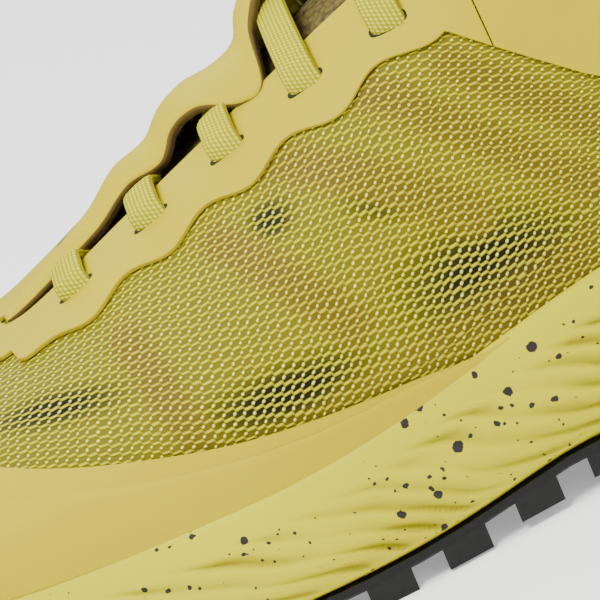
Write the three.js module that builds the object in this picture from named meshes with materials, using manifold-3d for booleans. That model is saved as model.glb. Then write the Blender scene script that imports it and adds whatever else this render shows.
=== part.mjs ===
// Trail running shoe for the left foot, in millimetres, toe towards -X, outer side of the foot towards -Y.
// The upper is lofted through sections that stand across the foot and then lean back round the heel.
import * as THREE from "three";
import { mergeVertices } from "three/addons/utils/BufferGeometryUtils.js";
import Module from "manifold-3d";

const wasm = await Module();
wasm.setup();

// Sole
const shoeLength = 292;
const ballWidth = 112;
const heelWidth = 88;
const forefootStack = 23;
const heelStack = 31;
const toeSpring = 13;
const heelBevel = 6;
const archRise = 3;
const lugHeight = 4;
const treadThickness = 2.2;
const rimWidth = 5;
const waveDepth = 0.9;
const waveLength = 15;
const ribPitch = 7;
const ribSlope = 0.4;
const lugStart = 16;
const lugPitch = 15.5;
const lugLength = 9;
const lugWidth = 12;
const lugInset = 3.4;

// Upper
const lastBallWidth = 100;
const lastHeelWidth = 74;
const instepHeight = 108;
const heelTabHeight = 104;
const ankleHeight = 79;
const toeGap = 5;
const toeBox = 26; // length over which the toe rises to its full height
const wall = 1.8;
const film = 0.8;
const clearance = 0.3;

// Throat, laces and linings
const throatStart = 80;
const throatEnd = 172;
const throatFoot = 2.5; // half width of the throat at its toe end
const throatTop = 17; // half width of the throat at the collar
const eyestayWidth = 16;
const scallopDepth = 1.6;
const firstRow = 95;
const rowStep = 17.5;
const laceRows = 5;
const laceWidth = 7;
const laceThickness = 1.8;
const slotLength = 9;
const slotWidth = 2.4;
const slotInset = 7;
const laceLean = 4; // how much further back each bar lies on the inner side
const bridgeWidth = 7; // film bridges over the lace bars
const tonguePad = 4;
const tongueRise = 14; // above the heel tab
const collarPad = 4.5;
const collarBand = 24;
const quarterDepth = 20;
const insoleThickness = 4;

const high = 200; // past every edge of the shoe
const beyond = 140;

const { clamp, lerp, smoothstep } = THREE.MathUtils;

// Sole outline: distances from the centre line, as shares of the ball or heel width.
const soleOutline = [
  { at: 0.0, lateral: 0.4, medial: 0.42 },
  { at: 0.1, lateral: 0.42, medial: 0.435 },
  { at: 0.2, lateral: 0.455, medial: 0.475 },
  { at: 0.3, lateral: 0.485, medial: 0.5 },
  { at: 0.38, lateral: 0.5, medial: 0.485 },
  { at: 0.5, lateral: 0.475, medial: 0.425 },
  { at: 0.6, lateral: 0.47, medial: 0.41 },
  { at: 0.7, lateral: 0.48, medial: 0.435 },
  { at: 0.82, lateral: 0.5, medial: 0.48 },
  { at: 1.0, lateral: 0.49, medial: 0.48 },
];

// Upper outline seen from above, in shares of the last's ball or heel width.
const lastOutline = [
  { at: 0.0, lateral: 0.4, medial: 0.43 },
  { at: 0.1, lateral: 0.42, medial: 0.45 },
  { at: 0.2, lateral: 0.46, medial: 0.485 },
  { at: 0.3, lateral: 0.49, medial: 0.5 },
  { at: 0.38, lateral: 0.5, medial: 0.485 },
  { at: 0.5, lateral: 0.48, medial: 0.44 },
  { at: 0.6, lateral: 0.475, medial: 0.43 },
  { at: 0.7, lateral: 0.48, medial: 0.445 },
  { at: 0.82, lateral: 0.49, medial: 0.48 },
  { at: 1.0, lateral: 0.48, medial: 0.47 },
];

// Height of the foam's rim above the footbed, in millimetres, along the shoe.
const rimRise = [
  { at: 0.0, rise: 11 },
  { at: 0.1, rise: 8 },
  { at: 0.23, rise: 6.5 },
  { at: 0.4, rise: 5.5 },
  { at: 0.54, rise: 7.5 },
  { at: 0.62, rise: 8.5 },
  { at: 0.8, rise: 9.5 },
  { at: 1.0, rise: 12 },
];

// Sections of the last. Each runs from the sole or the back of the heel up to the vamp, instep or shin.
// foot and shin are shares of shoeLength from the toe, lift of heelTabHeight above the footbed,
// top of instepHeight, corner and crown the shares of the section that are rounded, bow how full the crown is.
const lastSections = [
  { at: 0.0, foot: 0.017, lift: 0.0, shin: 0.017, top: 0.44, corner: 0.3, crown: 0.65, bow: 2.3 },
  { at: 0.08, foot: 0.09, lift: 0.0, shin: 0.09, top: 0.47, corner: 0.3, crown: 0.68, bow: 2.3 },
  { at: 0.16, foot: 0.17, lift: 0.0, shin: 0.17, top: 0.495, corner: 0.28, crown: 0.75, bow: 2.15 },
  { at: 0.25, foot: 0.277, lift: 0.0, shin: 0.277, top: 0.565, corner: 0.22, crown: 0.8, bow: 2.0 },
  { at: 0.34, foot: 0.385, lift: 0.0, shin: 0.377, top: 0.69, corner: 0.18, crown: 0.82, bow: 1.9 },
  { at: 0.42, foot: 0.51, lift: 0.0, shin: 0.473, top: 0.815, corner: 0.16, crown: 0.82, bow: 1.95 },
  { at: 0.5, foot: 0.64, lift: 0.0, shin: 0.534, top: 0.9, corner: 0.16, crown: 0.76, bow: 2.1 },
  { at: 0.58, foot: 0.76, lift: 0.0, shin: 0.575, top: 0.96, corner: 0.18, crown: 0.62, bow: 2.2 },
  { at: 0.66, foot: 0.868, lift: 0.0, shin: 0.6, top: 1.005, corner: 0.24, crown: 0.5, bow: 2.2 },
  { at: 0.73, foot: 0.938, lift: 0.05, shin: 0.613, top: 1.045, corner: 0.34, crown: 0.42, bow: 2.2 },
  { at: 0.79, foot: 0.972, lift: 0.2, shin: 0.623, top: 1.085, corner: 0.4, crown: 0.4, bow: 2.1 },
  { at: 0.85, foot: 0.98, lift: 0.36, shin: 0.631, top: 1.12, corner: 0.42, crown: 0.4, bow: 2.0 },
  { at: 0.91, foot: 0.97, lift: 0.54, shin: 0.637, top: 1.155, corner: 0.42, crown: 0.4, bow: 2.0 },
  { at: 0.96, foot: 0.963, lift: 0.7, shin: 0.641, top: 1.19, corner: 0.42, crown: 0.4, bow: 2.0 },
  { at: 1.0, foot: 0.97, lift: 0.9, shin: 0.646, top: 1.25, corner: 0.42, crown: 0.4, bow: 2.0 },
];

// One smooth curve through a column of a table.
function along(rows, column, at) {
  const last = rows.length - 1;
  let i = 0;
  while (i < last - 1 && at > rows[i + 1].at) i += 1;
  const slope = (k) => {
    const before = rows[Math.max(0, k - 1)];
    const after = rows[Math.min(last, k + 1)];
    return (after[column] - before[column]) / (after.at - before.at);
  };
  const span = rows[i + 1].at - rows[i].at;
  const u = clamp((at - rows[i].at) / span, 0, 1);
  const rise = rows[i + 1][column] - rows[i][column];
  const bend = u * (1 - u);
  return (
    rows[i][column] +
    rise * u * u * (3 - 2 * u) +
    span * bend * ((1 - u) * slope(i) - u * slope(i + 1))
  );
}

// Quarter of a superellipse: 0 at the end, 1 once the round is over.
const roundOff = (distance, reach, power) =>
  (1 - (1 - clamp(distance / reach, 0, 1)) ** power) ** (1 / power);

// Sole heights at a share of the length.
const toeLift = (at) => toeSpring * clamp((0.25 - at) / 0.25, 0, 1) ** 1.9;
const heelLift = (at) => heelBevel * clamp((at - 0.87) / 0.13, 0, 1) ** 2;
const archLift = (at) => archRise * Math.exp(-(((at - 0.58) / 0.075) ** 2));
const groundHeight = (at) => toeLift(at) + heelLift(at) + archLift(at);
const bedHeight = (at) =>
  lerp(forefootStack, heelStack, smoothstep(at, 0.35, 0.75)) + 0.85 * toeLift(at);
const rimHeight = (at) => bedHeight(at) + along(rimRise, "rise", at);

const bootWidth = (at, ball, heel) => lerp(ball, heel, smoothstep(at, 0.42, 0.72));
const toePoint = 0.07 * ballWidth;
const toeRound = 0.2;
const heelRound = 0.15;

// Half width of the sole outline at a share of the length, rounded at both ends.
function soleEdge(side, at) {
  const plain = along(soleOutline, side, at) * bootWidth(at, ballWidth, heelWidth);
  const round = roundOff(at, toeRound, 2.3) * roundOff(1 - at, heelRound, 2.2);
  const middle = side === "medial" ? toePoint : -toePoint;
  const centre = middle * clamp(1 - at / toeRound, 0, 1);
  return centre + (plain - centre) * round;
}

// Stations that crowd towards a rounded end, so that its facets are even.
function stations(count, startRound, endRound) {
  const list = [];
  const turn = Math.round(count * 0.25);
  for (let k = 0; k < turn; k += 1)
    list.push(startRound * (1 - Math.cos(((0.06 + (0.94 * k) / turn) * Math.PI) / 2)));
  const middle = count - 2 * turn;
  for (let k = 0; k <= middle; k += 1)
    list.push(lerp(startRound, 1 - endRound, k / middle));
  for (let k = turn - 1; k >= 0; k -= 1)
    list.push(1 - endRound * (1 - Math.cos(((0.06 + (0.94 * k) / turn) * Math.PI) / 2)));
  return list;
}

// Closed indexed geometry through rings of equal size, with flat ends.
function loft(rings) {
  const size = rings[0].length;
  const points = rings.flat();
  const faces = [];
  for (let i = 0; i < rings.length - 1; i += 1)
    for (let k = 0; k < size; k += 1) {
      const a = i * size + k;
      const b = i * size + ((k + 1) % size);
      faces.push(a, b, a + size, b, b + size, a + size);
    }
  for (const [ring, facing] of [[0, -1], [rings.length - 1, 1]]) {
    const middle = points.length;
    points.push(rings[ring].reduce((sum, p) => sum.add(p), new THREE.Vector3()).divideScalar(size));
    for (let k = 0; k < size; k += 1) {
      const a = ring * size + k;
      const b = ring * size + ((k + 1) % size);
      if (facing < 0) faces.push(middle, b, a);
      else faces.push(middle, a, b);
    }
  }
  return new THREE.BufferGeometry().setFromPoints(points).setIndex(faces);
}

// Solid of a closed geometry.
function solid(geometry) {
  const bare = geometry.clone();
  bare.deleteAttribute("normal");
  bare.deleteAttribute("uv");
  const merged = mergeVertices(bare, 1e-4);
  const made = new wasm.Manifold(
    new wasm.Mesh({
      numProp: 3,
      vertProperties: new Float32Array(merged.attributes.position.array),
      triVerts: new Uint32Array(merged.index.array),
    }),
  );
  return made;
}

// Outline pushed through the shoe, either down through it or from side to side.
function prism(outline, direction, from, to) {
  const shape = new THREE.Shape(outline.map(([a, b]) => new THREE.Vector2(a, b)));
  const geometry = new THREE.ExtrudeGeometry(shape, { depth: to - from, bevelEnabled: false });
  geometry.translate(0, 0, from);
  if (direction === "across") geometry.rotateX(Math.PI / 2);
  return solid(geometry);
}

// Half width of the last seen from above, with the line that its sections close on.
function lastEdge(side, at, lean = 1) {
  const plain = lean * along(lastOutline, side, at) * bootWidth(at, lastBallWidth, lastHeelWidth);
  const middle = (side === "medial" ? 1 : -1) * toePoint * clamp(1.15 - at / 0.45, 0, 1);
  const toeEnd = roundOff(at - toeGap / shoeLength, toeRound, 2.3);
  return { middle, edge: middle + (plain - middle) * toeEnd };
}

// The last's outer surface, moved out by a distance along its own normals.
const lastStations = 27;
const cornerSteps = 3;
const crownSteps = 7;
function lastRing(share) {
  const row = (column) => along(lastSections, column, share);
  const footX = row("foot") * shoeLength;
  const shinX = row("shin") * shoeLength;
  const footZ = bedHeight(row("foot")) + row("lift") * heelTabHeight;
  const toeRise = roundOff(footX - toeGap, toeBox, 2.3);
  const shinZ = footZ + (row("top") * instepHeight - footZ) * toeRise;
  const corner = row("corner");
  const crown = row("crown");
  const halves = { lateral: [], medial: [] };
  for (const side of ["lateral", "medial"]) {
    const sign = side === "medial" ? 1 : -1;
    const place = (height, closing) => {
      const x = lerp(footX, shinX, height);
      const z = lerp(footZ, shinZ, height);
      const at = x / shoeLength;
      const lean = 1 - 0.2 * smoothstep(z, bedHeight(at) + 12, heelTabHeight);
      const leanHere = lerp(1, lean, smoothstep(at, 0.45, 0.7));
      const { middle, edge } = lastEdge(side, at, leanHere);
      return new THREE.Vector3(x, sign * (middle + (edge - middle) * closing), z);
    };
    for (let k = 1; k <= cornerSteps; k += 1) {
      const turn = (k / cornerSteps) * (Math.PI / 2);
      const power = lerp(7, 2.1, smoothstep(share, 0.6, 0.8));
      const closing = Math.sin(turn) ** (2 / power);
      halves[side].push(place(corner * (1 - Math.cos(turn) ** (2 / power)), closing));
    }
    for (let k = 0; k < crownSteps; k += 1) {
      const turn = (1 - k / crownSteps) * (Math.PI / 2);
      const closing = Math.sin(turn) ** (2 / row("bow"));
      const height = 1 - crown * (1 - Math.cos(turn) ** (2 / row("bow")));
      if (k > 0 || height > corner + 0.02) halves[side].push(place(height, closing));
      else halves[side].push(place(corner + 0.02, closing));
    }
  }
  const footPoint = new THREE.Vector3(footX, halves.medial[0].y * 0.5 + halves.lateral[0].y * 0.5, footZ);
  const topPoint = new THREE.Vector3(shinX, toePoint * clamp(1.15 - shinX / shoeLength / 0.45, 0, 1), shinZ);
  return [footPoint, ...halves.medial, topPoint, ...halves.lateral.reverse()];
}

const lastShares = [];
for (let k = 0; k <= lastStations; k += 1) {
  const share = k / lastStations;
  lastShares.push(0.004 + 0.996 * share ** 1.18);
}
const lastGeometry = loft(lastShares.map(lastRing));
lastGeometry.computeVertexNormals();

function lastForm(offset) {
  const geometry = lastGeometry.clone();
  const { position, normal } = geometry.attributes;
  for (let i = 0; i < position.count; i += 1)
    position.setXYZ(
      i,
      position.getX(i) + offset * normal.getX(i),
      position.getY(i) + offset * normal.getY(i),
      position.getZ(i) + offset * normal.getZ(i),
    );
  return solid(geometry);
}


// Sole outline with its outward normals, moved out by a distance.
const soleStations = stations(38, toeRound, heelRound);
const soleLoop = [
  ...soleStations.map((at) => new THREE.Vector2(at * shoeLength, soleEdge("medial", at))),
  ...soleStations.map((at) => new THREE.Vector2(at * shoeLength, -soleEdge("lateral", at))).reverse(),
];
function soleOffset(index, out) {
  const count = soleLoop.length;
  const before = soleLoop[(index + count - 1) % count];
  const after = soleLoop[(index + 1) % count];
  const run = after.clone().sub(before).normalize();
  return new THREE.Vector2(soleLoop[index].x - run.y * out, soleLoop[index].y + run.x * out);
}

// Side of the foam from its underside to its rim: how far each level stands in from the outline.
const sideLevels = [
  { at: 0.0, inset: 5 },
  { at: 0.08, inset: 2.4 },
  { at: 0.2, inset: 0.8 },
  { at: 0.32, inset: 0 },
  { at: 0.44, inset: 0.2 },
  { at: 0.56, inset: 0.7 },
  { at: 0.67, inset: 1.4 },
  { at: 0.78, inset: 2.2 },
  { at: 0.9, inset: 3 },
  { at: 0.97, inset: 3.9 },
  { at: 1.0, inset: 5.2 },
];
const soleUnder = (at) => groundHeight(at) + lugHeight;
const foamUnder = (at) => soleUnder(at) + treadThickness + clearance;

// Ribs that run down towards the heel below the smooth rim.
function rib(x, z, rim, under) {
  const phase = (z + ribSlope * x) / ribPitch + 0.22 * Math.sin(x / waveLength);
  const below = smoothstep(rim - z, rimWidth, rimWidth + 2) * smoothstep(z - under, 1, 4);
  return waveDepth * below * Math.sin(2 * Math.PI * phase);
}

// The foam as one form without the hollow for the upper, grown by a distance.
function foamForm(grow) {
  const count = soleStations.length;
  const rings = soleStations.map((at, i) => {
    const under = foamUnder(at) - grow;
    const rim = rimHeight(at) + grow;
    const wallOf = (index) =>
      sideLevels.map((level) => {
        const z = lerp(under, rim, level.at);
        const out = grow - level.inset + rib(at * shoeLength, z, rim, under);
        const edge = soleOffset(index, out);
        return new THREE.Vector3(edge.x, edge.y, z);
      });
    const medial = wallOf(i);
    const lateral = wallOf(2 * count - 1 - i).reverse();
    return [...medial, ...lateral];
  });
  return solid(loft(rings));
}

// The tread: a thin sheet under the foam with its lugs.
function treadSheet() {
  const count = soleStations.length;
  const rings = soleStations.map((at, i) => {
    const under = soleUnder(at);
    const edgeOf = (index) =>
      [[0, -4.2], [0.35, -3.2], [1, -3.4]].map(([height, out]) => {
        const edge = soleOffset(index, out);
        return new THREE.Vector3(edge.x, edge.y, under + height * treadThickness);
      });
    return [...edgeOf(i), ...edgeOf(2 * count - 1 - i).reverse()];
  });
  return solid(loft(rings));
}

// A lug stands from the ground up into the sheet.
function lug(outline) {
  const middle = outline.reduce((sum, [x]) => sum + x, 0) / outline.length / shoeLength;
  return prism(outline, "down", groundHeight(middle), soleUnder(middle) + treadThickness / 2);
}

// Blocks along both edges, and arrowheads down the middle that point forwards, or back under the heel.
function tread() {
  let made = treadSheet();
  for (let x = lugStart; x <= shoeLength - lugStart; x += lugPitch) {
    const at = x / shoeLength;
    for (const side of ["medial", "lateral"]) {
      const sign = side === "medial" ? 1 : -1;
      const outer = (shift) => sign * (soleEdge(side, (x + shift) / shoeLength) - lugInset);
      const inner = sign * (soleEdge(side, at) - lugInset - lugWidth);
      const half = lugLength / 2;
      made = made.add(
        lug([[x - half, outer(-half)], [x + half, outer(half)], [x + 0.7 * half, inner], [x - 0.3 * half, inner]]),
      );
    }
    const forward = at > 0.12 && at < 0.42;
    const braking = at > 0.7 && at < 0.93;
    if (!forward && !braking) continue;
    const point = forward ? -1 : 1;
    for (const share of [-0.27, 0.27]) {
      const y = share * (soleEdge("medial", at) + soleEdge("lateral", at)) * 0.62;
      const tip = x + lugPitch / 2 + point * 0.5 * lugLength;
      made = made.add(
        lug([
          [tip, y],
          [tip - point * 0.55 * lugLength, y + 0.5 * lugWidth],
          [tip - point * lugLength, y + 0.5 * lugWidth],
          [tip - point * 0.5 * lugLength, y],
          [tip - point * lugLength, y - 0.5 * lugWidth],
          [tip - point * 0.55 * lugLength, y - 0.5 * lugWidth],
        ]),
      );
    }
  }
  return made;
}

// Half width of the throat at a distance from the toe.
function throatEdge(x) {
  const share = clamp((x - throatStart) / (throatEnd - throatStart), 0, 1);
  return lerp(throatFoot, throatTop, share ** 0.8) * roundOff(x - throatStart, 6, 2);
}
const throatPoints = [0, 1.5, 6, 15, 30, 50, 70, throatEnd - throatStart, beyond].map((step) => throatStart + step);
const throatOutline = [
  ...throatPoints.map((x) => [x, -throatEdge(x)]),
  ...throatPoints.map((x) => [x, throatEdge(x)]).reverse(),
].filter(([x, y], i, list) => i === 0 || x !== list[i - 1][0] || y !== list[i - 1][1]);

// Collar line in side view: heights as shares of the named heights.
const collarLine = [
  [throatEnd - 6, instepHeight + 4],
  [throatEnd + 2, instepHeight - 5],
  [throatEnd + 12, lerp(ankleHeight, instepHeight, 0.62)],
  [throatEnd + 26, lerp(ankleHeight, instepHeight, 0.3)],
  [throatEnd + 42, lerp(ankleHeight, instepHeight, 0.07)],
  [throatEnd + 56, ankleHeight],
  [throatEnd + 72, lerp(ankleHeight, heelTabHeight, 0.12)],
  [throatEnd + 88, lerp(ankleHeight, heelTabHeight, 0.5)],
  [throatEnd + 100, lerp(ankleHeight, heelTabHeight, 0.88)],
  [throatEnd + 108, heelTabHeight],
  [shoeLength + 10, heelTabHeight],
];
const collarCut = prism(
  [...collarLine, [shoeLength + 10, high], [throatEnd - 6, high]].map(([x, z]) => [x, z]),
  "across", -high, high,
);
const throatCut = prism(throatOutline, "down", 45, high);

// Slots for the lace, one on each side of the throat in every row.
const rows = [];
for (let row = 0; row < laceRows; row += 1) rows.push(firstRow + row * rowStep);
const slotLine = (x) => throatEdge(x) + slotInset;
function slotAt(x, sign, grow) {
  const half = slotLength / 2 + grow;
  const thick = slotWidth / 2 + grow;
  const side = (shift, out) => [x + shift, sign * (slotLine(x + shift) + out)];
  const outline = [
    side(-half, 0), side(-0.75 * half, -thick), side(0.75 * half, -thick),
    side(half, 0), side(0.75 * half, thick), side(-0.75 * half, thick),
  ];
  return prism(outline, "down", 45, high);
}
const slots = rows.flatMap((x) => [-1, 1].map((sign) => slotAt(x, sign, 0)));

// The upper: the last's form with a real wall, open at throat, collar and underneath.
const outer = lastForm(0);
const toeTip = -0.1;
const bedPoints = [];
for (let k = 0; k <= 20; k += 1) bedPoints.push(lerp(toeTip, 1, k / 20));
const bedSlab = (low, top) =>
  prism(
    [
      ...bedPoints.map((at) => [at * shoeLength, bedHeight(at) + low]),
      ...bedPoints.map((at) => [at * shoeLength, bedHeight(at) + top]).reverse(),
    ],
    "across", -high, high,
  );
const openFloor = bedSlab(-high / 2, wall + 0.5);
let upper = outer.subtract(lastForm(-wall)).subtract(throatCut).subtract(collarCut).subtract(openFloor);
for (const slot of slots) upper = upper.subtract(slot);

// Skins that lie on the upper or under it, between two distances from the last.
const skin = (low, top) => lastForm(top).subtract(lastForm(low));
const filmSkin = skin(clearance, clearance + film);

// Eyestay with its scalloped edge, a lobe for each row.
const eyestaySteps = 22;
const eyestayTail = 8; // past the throat, down the front of the collar
function eyestayEdge(x) {
  const lobe = scallopDepth * Math.cos((2 * Math.PI * (x - firstRow)) / rowStep);
  const start = roundOff(x - (throatStart - eyestayWidth), eyestayWidth + 8, 2);
  return (throatEdge(x) + eyestayWidth + lobe) * start;
}
function eyestayOutline(grow) {
  const points = [];
  const from = throatStart - eyestayWidth - grow;
  for (let step = 0; step <= eyestaySteps; step += 1)
    points.push(from + (throatEnd + eyestayTail + grow - from) * (step / eyestaySteps) ** 1.15);
  return [
    ...points.map((x) => [x, -eyestayEdge(x) - grow]),
    ...points.map((x) => [x, eyestayEdge(x) + grow]).reverse(),
  ];
}
const eyestayFloor = 42;
let eyestay = filmSkin
  .intersect(prism(eyestayOutline(0), "down", eyestayFloor, high))
  .subtract(throatCut)
  .subtract(collarCut);
for (const slot of slots) eyestay = eyestay.subtract(slot);

// Lace bars between the slots of each row, over the film.
const laceLow = clearance + film + clearance;
function laceOutline(x) {
  const half = laceWidth / 2;
  const reach = slotLine(x) - slotWidth / 2 - clearance;
  return [
    [x - half, -reach], [x + half, -reach],
    [x + half + laceLean, reach], [x - half + laceLean, reach],
  ];
}
const laceSkin = skin(laceLow, laceLow + laceThickness);
// Slanting run from the inner end of one bar to the outer end of the next.
function laceReturn(x) {
  const half = laceWidth / 2;
  const start = 0.55 * slotLine(x);
  const end = 0.55 * slotLine(x + rowStep);
  return [
    [x + laceLean - half, start], [x + rowStep - half, -end],
    [x + rowStep + half, -end], [x + laceLean + half, start],
  ];
}
let laces = laceSkin.intersect(prism(laceOutline(rows[0]), "down", eyestayFloor, high));
for (const x of rows.slice(1)) {
  laces = laces.add(laceSkin.intersect(prism(laceReturn(x - rowStep), "down", eyestayFloor, high)));
  laces = laces.add(laceSkin.intersect(prism(laceOutline(x), "down", eyestayFloor, high)));
}

// Film bridges that spring from the eyestay behind each bar, arch over it and come down ahead of it.
const bridgeLow = laceLow + laceThickness + clearance;
const bridgeTop = bridgeLow + film;
const bridgeSkin = skin(bridgeLow, bridgeTop);
const legSkin = skin(clearance, bridgeTop);
function bridgeAt(x) {
  const half = bridgeWidth / 2;
  const near = [x + laceWidth / 2 + clearance + half + 1, throatEdge(x) + 1];
  const far = [x - laceWidth / 2 - clearance - half + 1, throatEdge(x) + 1];
  const strap = [
    [near[0] - half, -near[1] - 2], [near[0] + half, -near[1] - 2],
    [far[0] + half, far[1] + 2], [far[0] - half, far[1] + 2],
  ];
  const leg = ([cx, cy], sign) => [
    [cx - half, sign * (cy - 0.6)], [cx + half, sign * (cy - 0.6)],
    [cx + half, sign * (cy + 2)], [cx - half, sign * (cy + 2)],
  ];
  const over = bridgeSkin.intersect(prism(strap, "down", eyestayFloor, high));
  const legs = [leg(near, -1), leg(far, 1)].map((outline) =>
    legSkin.intersect(prism(outline, "down", eyestayFloor, high)),
  );
  return over.add(legs[0]).add(legs[1]);
}
for (const x of rows.slice(2, 4)) eyestay = eyestay.add(bridgeAt(x));

// Mudguard: a film round the toe and along the foam's rim, deepest over the toes.
const mudguardLine = [
  [-10, 90], [32, 62], [45, 56], [58, 52], [69, 48], [82, 44.5], [96, 41.5], [110, 38.8],
  [122, 37], [134, 36], [146, 36], [160, 36], [160, -20], [-10, -20],
];
const rimGuard = foamForm(clearance);
const mudguard = filmSkin.intersect(prism(mudguardLine, "across", -high, high)).subtract(rimGuard).subtract(
  prism([[-20, -20], [shoeLength, -20], [shoeLength, 12], [150, 28], [60, 26], [-20, 34]], "across", -high, high));

// Quarter: the same film from the eyestay round the collar and heel.
const quarterStart = throatEnd + eyestayTail + clearance;
const collarLow = [...collarLine].reverse().map(([x, z]) => [x - 12, z - quarterDepth]);
const quarter = filmSkin
  .intersect(prism([...collarLine, ...collarLow], "across", -high, high))
  .subtract(prism([[0, -high], [quarterStart, -high], [quarterStart, high], [0, high]], "across", -high, high))
  .subtract(collarCut);

// Tongue: a padded leaf under the throat that stands above the collar.
const underWall = -wall - clearance;
const tongueOutline = [
  [88, -9], [100, -14], [120, -19], [150, -23], [190, -23], [190, 23], [150, 23], [120, 19], [100, 14], [88, 9],
];
const tongue = skin(underWall - tonguePad, underWall)
  .intersect(prism(tongueOutline, "down", eyestayFloor, heelTabHeight + tongueRise));

// Padded lining round the inside of the collar.
const padStart = 202;
const padLow = collarLine.filter(([x]) => x > padStart).reverse().map(([x, z]) => [x - 4, z - collarBand]);
const collarPadding = skin(underWall - collarPad, underWall)
  .intersect(prism([[padStart, ankleHeight + 30], [shoeLength + 10, high], ...padLow, [padStart, ankleHeight - 14]],
    "across", -high, high))
  .subtract(collarCut);

// Insole: a dished plate on the foam that fills the floor between the walls.
const insoleSteps = 22;
const insoleRows = [
  { rise: 0.1, width: 0.56 },
  { rise: 2, width: 0.7 },
  { rise: 3.6, width: 0.79 },
  { rise: 1 + insoleThickness, width: 0.82 },
];
function insoleForm() {
  const rings = [];
  const start = toeGap + 9;
  const end = shoeLength - 40;
  for (let k = 0; k <= insoleSteps; k += 1) {
    const x = lerp(start, end, 0.5 - 0.5 * Math.cos((Math.PI * (0.1 + 0.8 * (k / insoleSteps)) - 0.1 * Math.PI) / 0.8));
    const at = x / shoeLength;
    const heelEnd = roundOff(end - x + 2, 42, 2.2);
    const sideOf = (side, sign) =>
      insoleRows.map((row) => {
        const { middle, edge } = lastEdge(side, at);
        return new THREE.Vector3(x, sign * (middle + (edge - middle) * row.width * heelEnd), bedHeight(at) + row.rise);
      });
    rings.push([...sideOf("medial", 1), ...sideOf("lateral", -1).reverse()]);
  }
  return solid(loft(rings));
}
const insole = insoleForm();

const dish = lastForm(clearance);
const midsole = foamForm(0).subtract(dish);

// Scene graph
const group = new THREE.Group();
group.name = "trail_running_shoe";
function add(name, made, color, roughness, metalness = 0) {
  const { vertProperties, triVerts, numProp } = made.getMesh();
  const points = new Float32Array((vertProperties.length / numProp) * 3);
  for (let i = 0; i < points.length / 3; i += 1)
    for (let axis = 0; axis < 3; axis += 1) points[3 * i + axis] = vertProperties[numProp * i + axis];
  const geometry = new THREE.BufferGeometry();
  geometry.setAttribute("position", new THREE.BufferAttribute(points, 3));
  geometry.setIndex(new THREE.BufferAttribute(new Uint32Array(triVerts), 1));
  const mesh = new THREE.Mesh(geometry, new THREE.MeshStandardMaterial({ color, roughness, metalness }));
  mesh.name = name;
  group.add(mesh);
}
add("outsole", tread(), 0x2b2b2b, 0.8);
add("midsole", midsole, 0xd2ce55, 0.65);
add("upper", upper, 0xa9a53a, 0.9);
add("insole", insole, 0x3a3a38, 0.9);
add("tongue", tongue, 0x6b5a1e, 0.9);
add("collar_lining", collarPadding, 0x7a6a28, 0.95);
add("eyestay", eyestay, 0xd0c650, 0.6);
add("quarter", quarter, 0xd0c650, 0.6);
add("mudguard", mudguard, 0xc8bc40, 0.6);
add("laces", laces, 0xd9d36a, 0.85);

// The origin lies under the middle of the whole shoe.
const bounds = new THREE.Box3().setFromObject(group);
const middle = bounds.getCenter(new THREE.Vector3());
group.position.set(-middle.x, -middle.y, -bounds.min.z);
export default group;
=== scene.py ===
import bisect
import math

import bmesh
import bpy
from mathutils import Matrix, Vector, noise
from mathutils.bvhtree import BVHTree


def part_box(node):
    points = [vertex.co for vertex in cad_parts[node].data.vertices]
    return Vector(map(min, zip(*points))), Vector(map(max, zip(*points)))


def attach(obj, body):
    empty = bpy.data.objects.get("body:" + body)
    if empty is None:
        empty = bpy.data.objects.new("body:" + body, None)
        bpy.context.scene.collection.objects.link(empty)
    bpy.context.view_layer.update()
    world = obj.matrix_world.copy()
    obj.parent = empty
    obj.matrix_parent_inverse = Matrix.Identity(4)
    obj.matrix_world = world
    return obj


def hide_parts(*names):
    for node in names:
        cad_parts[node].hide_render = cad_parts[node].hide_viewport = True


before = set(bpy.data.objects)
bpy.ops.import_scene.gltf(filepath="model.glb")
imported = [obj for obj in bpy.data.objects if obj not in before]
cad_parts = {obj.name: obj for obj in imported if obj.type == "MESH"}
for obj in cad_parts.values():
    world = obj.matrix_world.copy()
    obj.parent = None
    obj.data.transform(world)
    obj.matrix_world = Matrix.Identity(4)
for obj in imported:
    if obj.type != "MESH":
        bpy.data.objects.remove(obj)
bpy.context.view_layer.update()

# Camera: a close view of the outer side over the ball and the lacing, rolled so that the heel rises.
# Every length below is in millimetres from the toe tip, the centre line and the floor.
MM = 0.001
TONGUE_START = 88
tongue_low, tongue_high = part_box("tongue")
TOE = Vector((
    tongue_low[0] / MM - TONGUE_START,
    (tongue_low[1] + tongue_high[1]) / 2 / MM,
    0,
))


def metres(spot):
    return (Vector(spot) + TOE) * MM


SIGHT = Vector((130, -40, 55.6))
AZIMUTH, ELEVATION, ROLL = math.radians(3), math.radians(18), math.radians(23)
LENS, SENSOR, VIEW_WIDTH = 300, 36, 107

camera_data = bpy.data.cameras.new("camera")
camera_data.lens, camera_data.sensor_width = LENS, SENSOR
camera = bpy.data.objects.new("camera", camera_data)
bpy.context.collection.objects.link(camera)
back = Vector((
    -math.sin(AZIMUTH) * math.cos(ELEVATION),
    -math.cos(AZIMUTH) * math.cos(ELEVATION),
    math.sin(ELEVATION),
))
level_right = Vector((0, 0, 1)).cross(back).normalized()
level_up = back.cross(level_right)
right = level_right * math.cos(ROLL) - level_up * math.sin(ROLL)
up = level_up * math.cos(ROLL) + level_right * math.sin(ROLL)
distance = VIEW_WIDTH * MM * LENS / SENSOR
turn = Matrix((right, up, back)).transposed().to_4x4()
camera.matrix_world = Matrix.Translation(metres(SIGHT) + back * distance) @ turn
camera_data.clip_start, camera_data.clip_end = 0.01, 100
bpy.context.scene.camera = camera


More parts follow.
